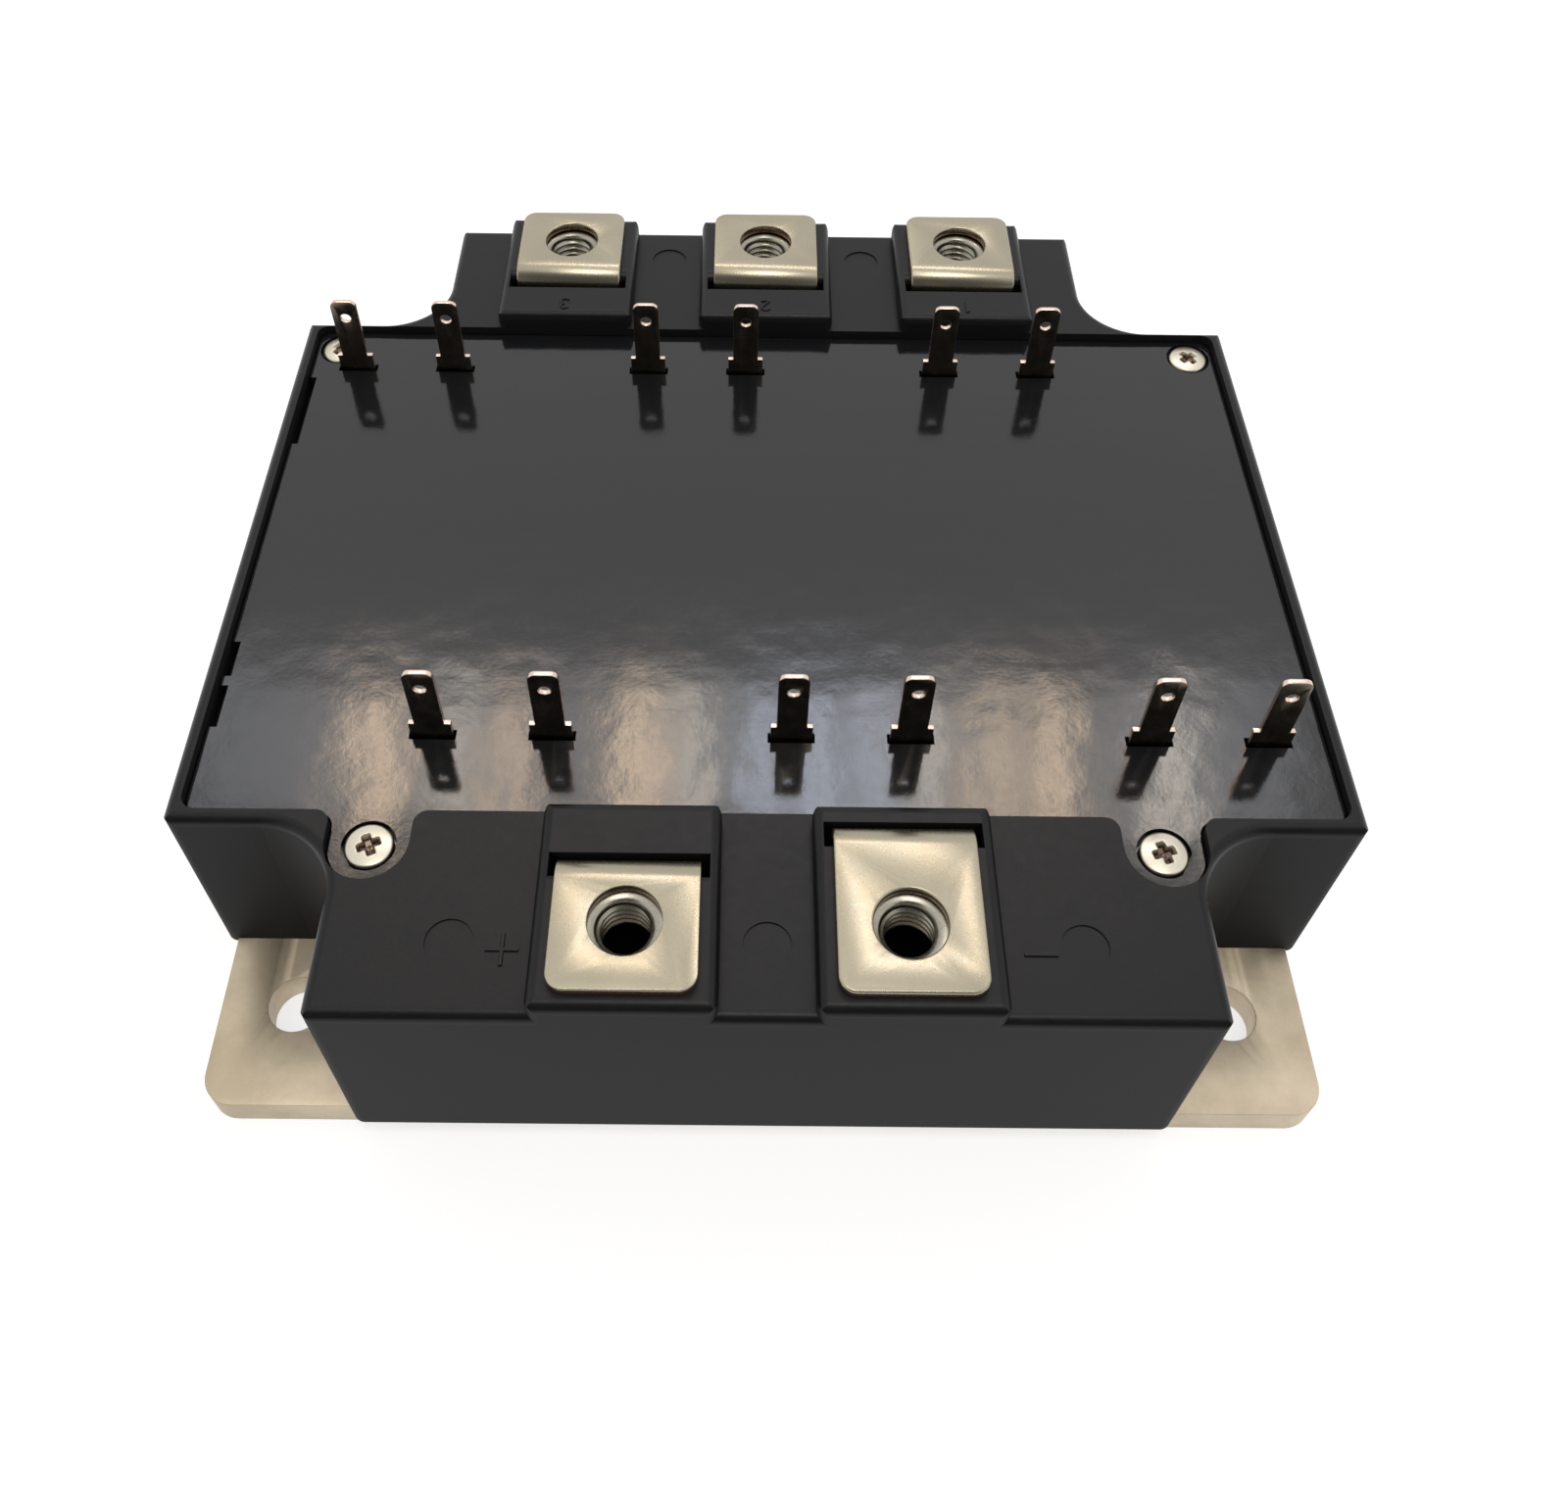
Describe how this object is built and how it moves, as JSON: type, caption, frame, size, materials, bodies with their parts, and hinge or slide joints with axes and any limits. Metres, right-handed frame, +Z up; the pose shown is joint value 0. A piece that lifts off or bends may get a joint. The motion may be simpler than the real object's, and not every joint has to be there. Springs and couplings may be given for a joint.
{
  "type": "power module",
  "caption": "Low black transistor power module with a metal base plate, a sunk cover, screw terminals on raised blocks at both ends and rows of upright signal tabs.",
  "frame": {"origin": "centre of the base plate on its underside", "axes": "+X along the long side, +Y from the supply terminals towards the output terminals, +Z up from the heat sink face"},
  "size_m": [0.107, 0.102, 0.0353],
  "materials": {
    "plated_copper_plate": "nickel-plated copper, matt",
    "case_plastic": "moulded glass-filled polyester, satin",
    "cover_plastic": "moulded polyester, glossy",
    "plated_copper_strap": "nickel-plated copper, satin",
    "nut_steel": "nickel-plated steel",
    "screw_steel": "nickel-plated steel",
    "tab_brass": "tinned copper alloy",
    "ceramic": "alumina, matt",
    "bare_copper": "bonded copper",
    "silicon": "silicon die, metallised",
    "aluminium_wire": "bright"
  },
  "bodies": {
    "root": {"base_plate": "plated_copper_plate", "case_frame": "case_plastic", "cover": "cover_plastic", "positive_terminal": "plated_copper_strap", "negative_terminal": "plated_copper_strap", "output_terminal_left": "plated_copper_strap", "output_terminal_middle": "plated_copper_strap", "output_terminal_right": "plated_copper_strap", "positive_nut": "nut_steel", "negative_nut": "nut_steel", "output_nut_left": "nut_steel", "output_nut_middle": "nut_steel", "output_nut_right": "nut_steel", "cover_screw_front_left": "screw_steel", "cover_screw_front_right": "screw_steel", "cover_screw_back_left": "screw_steel", "cover_screw_back_right": "screw_steel", "signal_tab_front_1": "tab_brass", "signal_tab_front_2": "tab_brass", "signal_tab_front_3": "tab_brass", "signal_tab_front_4": "tab_brass", "signal_tab_front_5": "tab_brass", "signal_tab_front_6": "tab_brass", "signal_tab_back_1": "tab_brass", "signal_tab_back_2": "tab_brass", "signal_tab_back_3": "tab_brass", "signal_tab_back_4": "tab_brass", "signal_tab_back_5": "tab_brass", "signal_tab_back_6": "tab_brass", "lower_copper_left": "bare_copper", "lower_copper_middle": "bare_copper", "lower_copper_right": "bare_copper", "ceramic_left": "ceramic", "ceramic_middle": "ceramic", "ceramic_right": "ceramic", "copper_tracks_left": "bare_copper", "copper_tracks_middle": "bare_copper", "copper_tracks_right": "bare_copper", "switch_dies_left": "silicon", "switch_dies_middle": "silicon", "switch_dies_right": "silicon", "diode_dies_left": "silicon", "diode_dies_middle": "silicon", "diode_dies_right": "silicon", "bond_wires_left": "aluminium_wire", "bond_wires_middle": "aluminium_wire", "bond_wires_right": "aluminium_wire"}
  },
  "joints": []
}
